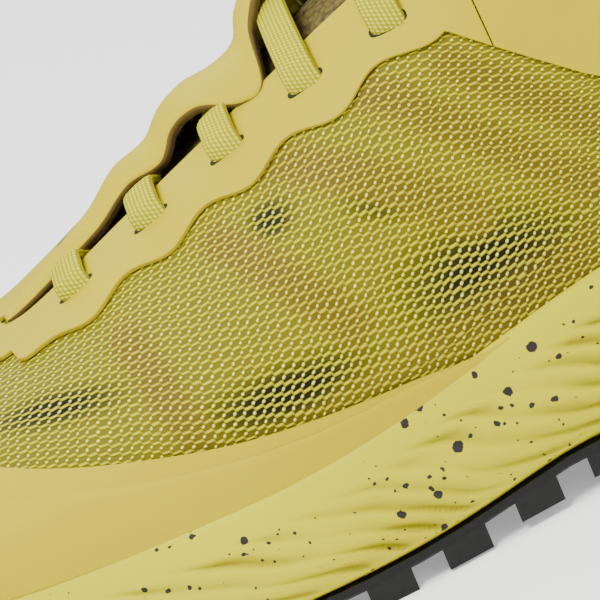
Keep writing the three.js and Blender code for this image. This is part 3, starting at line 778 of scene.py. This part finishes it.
def foam_loops(count, levels):
    loop = sole_loop(count)
    loops, depths = [], []
    for k in range(levels + 1):
        ring_spots, ring_depths = [], []
        for at, spot, outward in loop:
            under = ground(at) + LUG + TREAD + CLEARANCE
            top = rim(at)
            height = k / levels
            z = lerp(under, top, height)
            sunk = rib(spot.x, z, top, under)
            moved = spot + outward * (sunk - along(SIDE, "inset", height))
            ring_spots.append((moved.x, moved.y, z))
            ring_depths.append(clamp(-sunk / RIB_DEPTH))
        loops.append(ring_spots)
        depths.append(ring_depths)
    seats, floors = [], []
    for (at, spot, outward), edge in zip(loop, loops[-1]):
        start = Vector(edge)
        inward = Vector((-outward.x, -outward.y, 0))
        hit = form.ray_cast(start, inward, SEAT_SEARCH)[0] or start + inward * SEAT_DEPTH
        seats.append(tuple(hit))
        tucked = hit + inward * TUCK
        floors.append((tucked.x, tucked.y, bed(at) - BED_GAP))
    blank = [0.0] * len(loop)
    return loops + [seats, floors], depths + [blank, blank]


foam, tree, shader = material("speckled_foam")
place = add(tree, "TexCoord")
ragged = add(tree, "TexNoise", {"Vector": place.outputs["Object"], "Scale": 900.0, "Detail": 2.0})
ragged = add(tree, "VectorMath", {0: ragged.outputs["Color"], 1: (0.5, 0.5, 0.5)}, operation="SUBTRACT")
ragged = add(tree, "VectorMath", {0: ragged.outputs[0], "Scale": 0.0009}, operation="SCALE")
ragged = add(tree, "VectorMath", {0: place.outputs["Object"], 1: ragged.outputs[0]})


def flecks(scale, largest, few):
    cell = add(tree, "TexVoronoi", {"Vector": ragged.outputs[0], "Scale": scale, "Randomness": 1.0})
    chance = add(tree, "SeparateColor", {0: cell.outputs["Color"]})
    size = math_node("MULTIPLY", math_node("POWER", chance.outputs[0], few), largest)
    return math_node("GREATER_THAN", math_node("SUBTRACT", size, cell.outputs["Distance"]), 0.0)


spots = math_node("MAXIMUM", flecks(150.0, 0.22, 2.0), flecks(260.0, 0.2, 2.0))
spots = math_node("MAXIMUM", spots, flecks(420.0, 0.2, 1.2))
groove_shade = add(tree, "Attribute", attribute_name="groove_shade")
pores = add(tree, "TexNoise", {"Vector": place.outputs["Object"], "Scale": 2500.0, "Detail": 2.0})
cloud = add(tree, "TexNoise", {"Vector": place.outputs["Object"], "Scale": 30.0, "Detail": 2.0})
tone = add(tree, "MixRGB", {0: cloud.outputs["Fac"], 1: linear("bab000"), 2: linear("c2ba00")})
# Painted shade: the foam turns darker olive where the ribs sink deepest.
shade_in_grooves = math_node("MULTIPLY", math_node("POWER", groove_shade.outputs["Fac"], 1.4), 0.9)
tone = add(tree, "MixRGB", {0: shade_in_grooves, 1: tone.outputs[0], 2: linear("857c02")})
tone = add(tree, "MixRGB", {0: spots, 1: tone.outputs[0], 2: linear("2d2a28")})
bump = add(tree, "Bump", {"Height": pores.outputs["Fac"], "Strength": 0.12, "Distance": 0.1 * MM})
tree.links.new(tone.outputs[0], shader.inputs["Base Color"])
tree.links.new(bump.outputs[0], shader.inputs["Normal"])
shader.inputs["Roughness"].default_value = 0.55
shader.inputs["Specular IOR Level"].default_value = 0.1

loops, depths = foam_loops(360, 90)
midsole = finished(ringed("midsole", loops, depths), "foam_midsole", foam)
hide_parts("midsole")
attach(midsole, "root")

# Outsole: charcoal rubber with a fine dry grain, moulded with its lugs in one piece.
rubber, tree, shader = material("tread_rubber")
place = add(tree, "TexCoord")
grain = add(tree, "TexNoise", {"Vector": place.outputs["Object"], "Scale": 700.0, "Detail": 4.0})
bump = add(tree, "Bump", {"Height": grain.outputs["Fac"], "Strength": 0.3, "Distance": 0.15 * MM})
tone = add(tree, "MixRGB", {0: grain.outputs["Fac"], 1: linear("0a0a0b"), 2: linear("161617")})
tree.links.new(tone.outputs[0], shader.inputs["Base Color"])
tree.links.new(bump.outputs[0], shader.inputs["Normal"])
shader.inputs["Roughness"].default_value = 0.6
shader.inputs["Specular IOR Level"].default_value = 0.25
for slot in bpy.data.objects["outsole"].material_slots:
    slot.material = rubber

# Laces: one flat woven lace, ribbed along its length, out of each slot and over the throat, painted darker
# between its ribs as shade.
LACE_WIDTH, LACE_THICK, SLOT_INSET, LACE_LEAN = 7, 1.8, 7, 4
CORD_PITCH, PICK_PITCH, PICK_SLANT = 0.85, 0.75, 3.7
FLATNESS, SHOULDER, LACE_AROUND, LACE_STEPS = 0.45, 0.8, 16, 44
lace_finish, tree, shader = material("flat_lace")
chart = add(tree, "UVMap", uv_map="chart")
split = add(tree, "SeparateXYZ", {0: chart.outputs[0]})
cord = math_node("ABSOLUTE", math_node("SINE", math_node("MULTIPLY", split.outputs[1], math.pi / CORD_PITCH)))
along_lace = math_node("MULTIPLY", split.outputs[0], 2 * math.pi / PICK_PITCH)
step_phase = math_node("ADD", along_lace, math_node("MULTIPLY", split.outputs[1], PICK_SLANT))
picks = math_node("MULTIPLY_ADD", math_node("SINE", step_phase), 0.35, 0.65)
knit = math_node("MULTIPLY", cord, picks)
# Painted shade: the lace is darker between its cords and picks, where its relief is low.
tone = add(tree, "MixRGB", {0: knit, 1: linear("8c8404"), 2: linear("d6cf2c")})
bump = add(tree, "Bump", {"Height": knit, "Strength": 0.8, "Distance": 0.35 * MM})
tree.links.new(tone.outputs[0], shader.inputs["Base Color"])
tree.links.new(bump.outputs[0], shader.inputs["Normal"])
shader.inputs["Roughness"].default_value = 0.7
shader.inputs["Specular IOR Level"].default_value = 0.1


def on_plan(x, y, out):
    hit, normal, *_ = form.ray_cast(Vector((x, y, 200)), Vector((0, 0, -1)))
    if normal.z < 0:
        normal = -normal
    return hit + normal * out


def ribbon(name, route, width, thick, finish, crown=0.25):
    """A flat band along a route of points and heights, with rounded edges."""
    around = LACE_AROUND
    loops = []
    lengths = [0.0]
    for a, b in zip(route, route[1:]):
        lengths.append(lengths[-1] + (b[0] - a[0]).length)
    for i, (middle, upward) in enumerate(route):
        run = (route[min(i + 1, len(route) - 1)][0] - route[max(i - 1, 0)][0]).normalized()
        across = run.cross(upward).normalized()
        rise = across.cross(run).normalized()
        loops.append([
            tuple(middle + across * (math.copysign(abs(math.cos(a)) ** FLATNESS, math.cos(a)) * width / 2)
                  + rise * (math.copysign(abs(math.sin(a)) ** SHOULDER, math.sin(a)) * thick / 2
                            + crown * math.sin(a) * (1 - math.cos(a) ** 2)))
            for a in (2 * math.pi * k / around for k in range(around))])
    mesh = ringed(name, loops)
    chart = mesh.uv_layers.new(name="chart")
    for face in mesh.polygons:
        for index in face.loop_indices:
            i, k = divmod(mesh.loops[index].vertex_index, around)
            side = math.cos(2 * math.pi * k / around)
            chart.data[index].uv = (lengths[i], math.copysign(abs(side) ** FLATNESS, side) * width / 2)
    return finished(mesh, name, finish)


UNDER_ROWS, UNDER_HEIGHT = 3, -0.2
HIDDEN_REACH, HIDDEN_DEPTH, LACE_LIFT, LACE_CROWN, LACE_TURN = 1.12, -1.2, 0.8, 0.9, 0.6
laces = []
for number in range(ROWS):
    x = FIRST_ROW + number * ROW_STEP
    half = throat_edge(x) + SLOT_INSET
    route = []
    for k in range(LACE_STEPS + 1):
        u = lerp(-HIDDEN_REACH, HIDDEN_REACH, k / LACE_STEPS)
        y = half * u
        inside = smooth(1.0 - abs(u), -0.1, 0.08)
        on_film = FILM + LACE_LIFT + LACE_THICK / 2
        height = lerp(HIDDEN_DEPTH, on_film, inside) + LACE_CROWN * (1 - u * u)
        if number < UNDER_ROWS:
            dip = smooth(y, -throat_edge(x) - 1, -throat_edge(x) * 0.4) * inside
            height = lerp(height, UNDER_HEIGHT, dip)
        kept = clamp(y, -half - LACE_TURN, half + LACE_TURN)
        spot = on_plan(x + LACE_LEAN * (u + 1) / 2, kept, height)
        route.append((spot, on_plan(x, y, 1) - on_plan(x, y, 0)))
    laces.append(ribbon(f"lace_bar_{number + 1}", route, LACE_WIDTH, LACE_THICK, lace_finish))
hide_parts("laces")
for lace in laces:
    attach(lace, "root")

# Far lip: the inner edge of the eyestay, backed with felt, which arches over the laces.
# It lies low at the toe end, rises in a lobe after each row and touches down after the third.
LIP = [
    ("at", "reach", "edge", "crest"),
    (80, 0.5, 1.3, 1.8), (88, 0.55, 1.6, 2.6), (97, 0.55, 1.8, 3.2), (104, 0.6, 2, 3.4),
    (112, 0.45, 3, 5), (119, 0.7, 2.4, 4.4), (124, 0.5, 4.4, 6), (130, 0.7, 5, 6.4), (136, 1.06, 1.9, 4.6),
    (141, 1.06, 1.7, 4.4), (145, 0.3, 5.5, 7), (152, 0.0, 8, 9), (158, 0.0, 6, 7), (164, 0.2, 3, 4),
]
felt, tree, shader = material("felt_edge")
shader.inputs["Base Color"].default_value = linear("5c4810")
shader.inputs["Roughness"].default_value = 0.95
bm = bmesh.new()
bmesh.ops.create_grid(bm, x_segments=130, y_segments=22, size=0.5)
for vert in bm.verts:
    x = lerp(THROAT_START + 1, THROAT_END - 9, vert.co.x + 0.5)
    v = vert.co.y + 0.5
    width = throat_edge(x)
    crest, edge = along(LIP, "crest", x), along(LIP, "edge", x)
    y = lerp(width + 3, -along(LIP, "reach", x) * width, v)
    height = lerp(LIFT + FILM, crest, smooth(v, 0, 0.6))
    height = lerp(height, edge, clamp((v - 0.6) / 0.4) ** 1.6)
    vert.co = metres(on_plan(x, y, height))
mesh = bpy.data.meshes.new("lip")
bm.normal_update()
if sum(face.normal.z for face in bm.faces) < 0:
    bmesh.ops.reverse_faces(bm, faces=bm.faces)
bm.to_mesh(mesh)
bm.free()
lip = finished(mesh, "eyestay_lip", film_finish)
mesh.materials.append(felt)
thicken(lip, 2.0, -1.0)
lip.modifiers["wall"].material_offset_rim = 1
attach(lip, "root")

# Slots: flat shapes laid on the film and painted near black, a painted shadow for the openings where each
# lace leaves it.
# They lie along the throat and stand just clear of the surface.
SLOT_LENGTH, SLOT_WIDTH = 7.6, 1.9
shadow, tree, shader = material("slot_shade")
# Painted shadow: near black, standing in for the shade inside each slot.
shader.inputs["Base Color"].default_value = linear("1c1a08")
shader.inputs["Roughness"].default_value = 1.0
for number in range(ROWS):
    for side in (-1, 1):
        bm = bmesh.new()
        bmesh.ops.create_circle(bm, cap_ends=True, segments=32, radius=1)
        for vert in bm.verts:
            shift = vert.co.x * SLOT_LENGTH / 2
            x = FIRST_ROW + number * ROW_STEP + shift + (LACE_LEAN if side > 0 else 0)
            bulge = math.copysign(abs(vert.co.y) ** 0.6, vert.co.y) * SLOT_WIDTH / 2
            y = side * (throat_edge(x) + SLOT_INSET + bulge)
            vert.co = metres(on_plan(x, y, LIFT + FILM + 0.06))
        mesh = bpy.data.meshes.new("slot")
        bm.to_mesh(mesh)
        bm.free()
        opening = finished(mesh, f"slot_shadow_{number + 1}_{'near' if side < 0 else 'far'}", shadow)
        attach(opening, "root")

# Tongue: a padded knit leaf under the throat, standing above the collar; its knit is painted dark ochre as
# shade, darker still in the hollows between the loops as painted shade.
lining, tree, shader = material("knit_lining")
place = add(tree, "TexCoord")
knit = add(tree, "TexVoronoi", {"Vector": place.outputs["Object"], "Scale": 900.0})
# Painted shade: the knit is dark ochre as seen in shade, darkest in the hollows between its loops.
tone = add(tree, "MixRGB", {0: knit.outputs["Distance"], 1: linear("6f5f22"), 2: linear("2c2408")})
bump = add(
    tree, "Bump", {"Height": knit.outputs["Distance"], "Strength": 0.5, "Distance": 0.3 * MM}, invert=True)
tree.links.new(tone.outputs[0], shader.inputs["Base Color"])
tree.links.new(bump.outputs[0], shader.inputs["Normal"])
shader.inputs["Roughness"].default_value = 0.9
TONGUE_PAD, TONGUE_RISE, TONGUE_BACK, WALL = 4, 14, 188, 1.8


def tongue_half(x):
    return lerp(10, 22, smooth(x, TONGUE_START, 150))


mesh = sheet_on_last(
    "tongue", 120, 24, share_at(TONGUE_START + 1), 0.86,
    lambda share, side: first_share(
        share, side, lambda s: s.z > 50 and abs(s.y) < tongue_half(s.x), 0.35),
    lambda share, side: 1.0,
    lambda share, side, v: -WALL - 0.6 - 1.2 * (1 - v) ** 2)
bm = bmesh.new()
bm.from_mesh(mesh)
top = metres((0, 0, HEEL_TAB + TONGUE_RISE - 0.5))
back_cut = metres((TONGUE_BACK, 0, 0))
for plane, direction in ((top, (0, 0, 1)), (back_cut, (1, 0, 0))):
    bmesh.ops.bisect_plane(
        bm, geom=bm.verts[:] + bm.edges[:] + bm.faces[:], plane_co=plane, plane_no=direction,
        clear_outer=True)
bm.to_mesh(mesh)
bm.free()
tongue = finished(mesh, "padded_tongue", lining)
thicken(tongue, TONGUE_PAD, -1.0)
soft = tongue.modifiers.new("edge", "BEVEL")
soft.width, soft.segments, soft.limit_method, soft.angle_limit = 1.2 * MM, 3, "ANGLE", 0.9
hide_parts("tongue")
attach(tongue, "root")

# Collar: padded knit inside the heel, fullest just under its turned edge, with the same painted shade as the
# tongue.
COLLAR_PAD, COLLAR_BAND = 4.5, 24
mesh = sheet_on_last(
    "collar", 150, 26, share_at(EYESTAY_END + 2), BACK,
    lambda share, side: first_share(share, side, lambda s: s.z > collar_height(s.x) - COLLAR_BAND),
    last_opening,
    lambda share, side, v: -WALL - 0.4 - COLLAR_PAD * math.sin(math.pi * clamp(v * 1.05)) ** 0.6)
collar = finished(mesh, "padded_collar", lining)
thicken(collar, 1.0, 1.0)
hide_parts("collar_lining")
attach(collar, "root")

# Insole: a moulded foam sheet with a brushed cover, loose on the floor of the shoe.
cover, tree, shader = material("brushed_cover")
place = add(tree, "TexCoord")
nap = add(tree, "TexNoise", {"Vector": place.outputs["Object"], "Scale": 1200.0, "Detail": 4.0})
tone = add(tree, "MixRGB", {0: nap.outputs["Fac"], 1: linear("2a2a28"), 2: linear("4a4945")})
bump = add(tree, "Bump", {"Height": nap.outputs["Fac"], "Strength": 0.4, "Distance": 0.2 * MM})
tree.links.new(tone.outputs[0], shader.inputs["Base Color"])
tree.links.new(bump.outputs[0], shader.inputs["Normal"])
shader.inputs["Roughness"].default_value = 0.95
for slot in bpy.data.objects["insole"].material_slots:
    slot.material = cover
